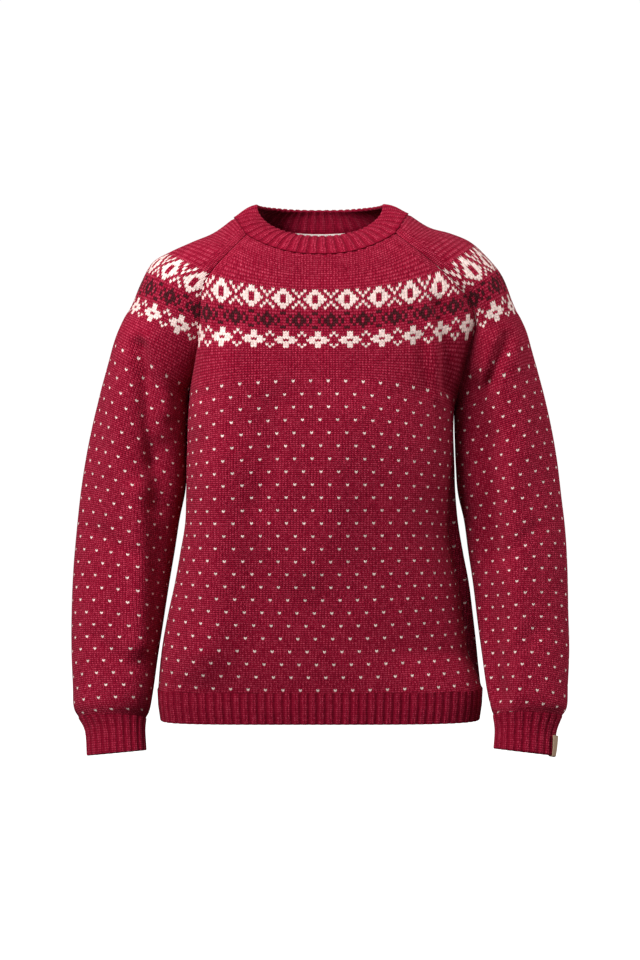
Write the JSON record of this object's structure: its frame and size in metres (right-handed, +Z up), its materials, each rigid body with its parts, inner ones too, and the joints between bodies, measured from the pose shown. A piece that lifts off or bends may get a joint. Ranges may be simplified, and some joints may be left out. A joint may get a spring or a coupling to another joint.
{
  "type": "crewneck sweater",
  "caption": "Fine-knit raglan crewneck sweater with a patterned yoke, ribbed neck, hem and cuffs, filled out and hollow.",
  "frame": {"origin": "middle of the neck opening at the height of the back neck seam, where a wearer's neck passes through", "axes": "+X to the wearer's left, -Y to the front, +Z up; the sweater hangs down from the origin as worn"},
  "size_m": [0.64, 0.22, 0.7123],
  "materials": {
    "knit_wool": "matt knitted wool",
    "rib_wool": "matt ribbed wool",
    "label_cloth": "matt woven tape",
    "tab_tan": "smooth, matt"
  },
  "bodies": {
    "root": {"front": "knit_wool", "back": "knit_wool", "sleeve_right": "knit_wool", "sleeve_left": "knit_wool", "neck_rib": "rib_wool", "hem_rib_front": "rib_wool", "hem_rib_back": "rib_wool", "cuff_right": "rib_wool", "cuff_left": "rib_wool", "neck_label": "label_cloth", "cuff_tab": "tab_tan"}
  },
  "joints": []
}
